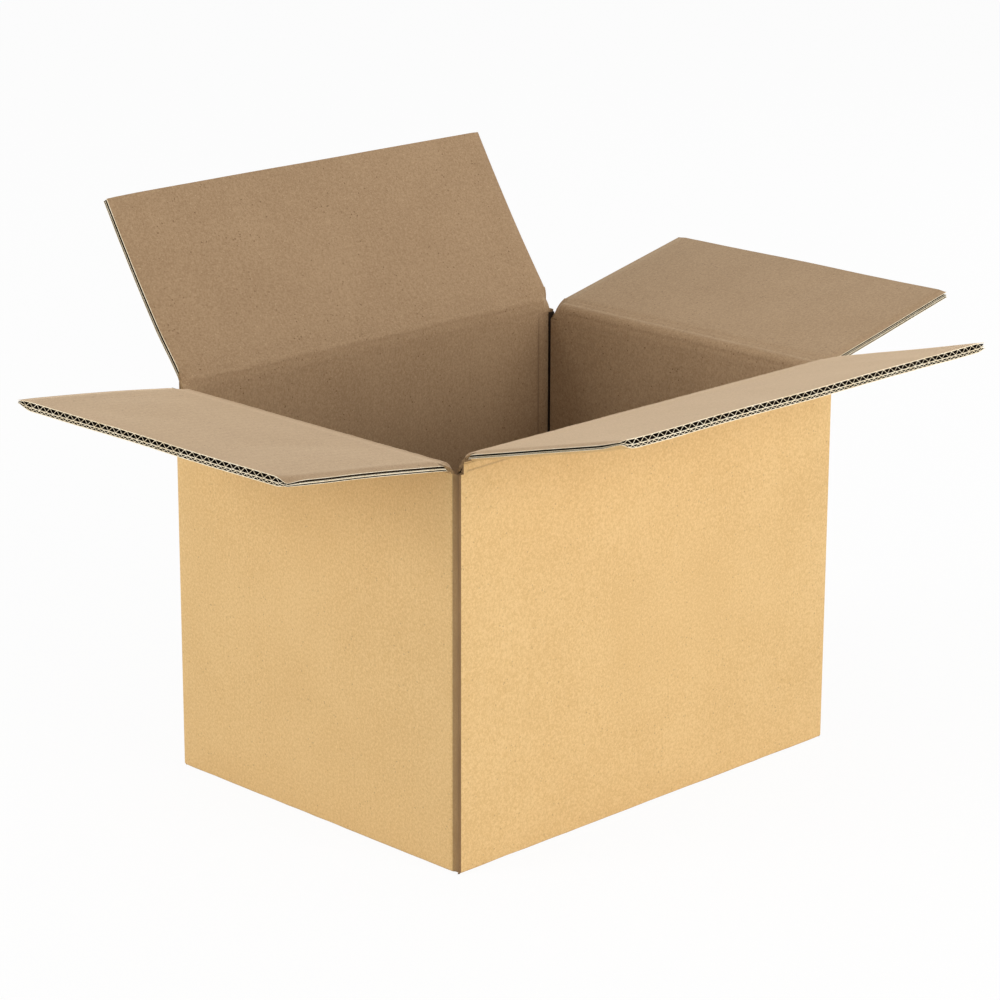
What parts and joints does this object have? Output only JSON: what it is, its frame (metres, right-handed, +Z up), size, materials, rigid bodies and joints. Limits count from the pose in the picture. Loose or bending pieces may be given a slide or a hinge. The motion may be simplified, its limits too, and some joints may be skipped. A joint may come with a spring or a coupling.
{
  "type": "corrugated bulk box",
  "caption": "Open double-wall corrugated carton with glued bottom, crushed folds and four hinged top flaps that fold shut or right back against the walls.",
  "frame": {"origin": "on the ground at the middle of the four walls, on the underside of the closed bottom", "axes": "+X along the long walls, +Y along the end walls away from the wall that the picture shows, +Z up through the open top"},
  "size_m": [0.6977, 0.5347, 0.4331],
  "materials": {
    "outer_board": "matt kraft outer liner, faint flute lines",
    "inner_board": "matt recycled inner liner, speckled with fibres"
  },
  "bodies": {
    "box": {"box_body": "outer_board"},
    "front_flap": {"front_long_flap": "inner_board"},
    "back_flap": {"back_long_flap": "inner_board"},
    "left_flap": {"left_end_flap": "inner_board"},
    "right_flap": {"right_end_flap": "inner_board"}
  },
  "joints": [
    {"name": "front_flap_fold", "type": "hinge", "parent": "box", "child": "front_flap", "pos_m": [0, -0.1527, 0.3033], "axis": [1, 0, 0], "range_deg": [-165.5, 99.5]},
    {"name": "back_flap_fold", "type": "hinge", "parent": "box", "child": "back_flap", "pos_m": [0, 0.1527, 0.3033], "axis": [-1, 0, 0], "range_deg": [-123.5, 141.5]},
    {"name": "left_flap_fold", "type": "hinge", "parent": "box", "child": "left_flap", "pos_m": [-0.2002, 0, 0.296], "axis": [0, -1, 0], "range_deg": [-173, 92]},
    {"name": "right_flap_fold", "type": "hinge", "parent": "box", "child": "right_flap", "pos_m": [0.2002, 0, 0.296], "axis": [0, 1, 0], "range_deg": [-167.5, 92.5]}
  ]
}
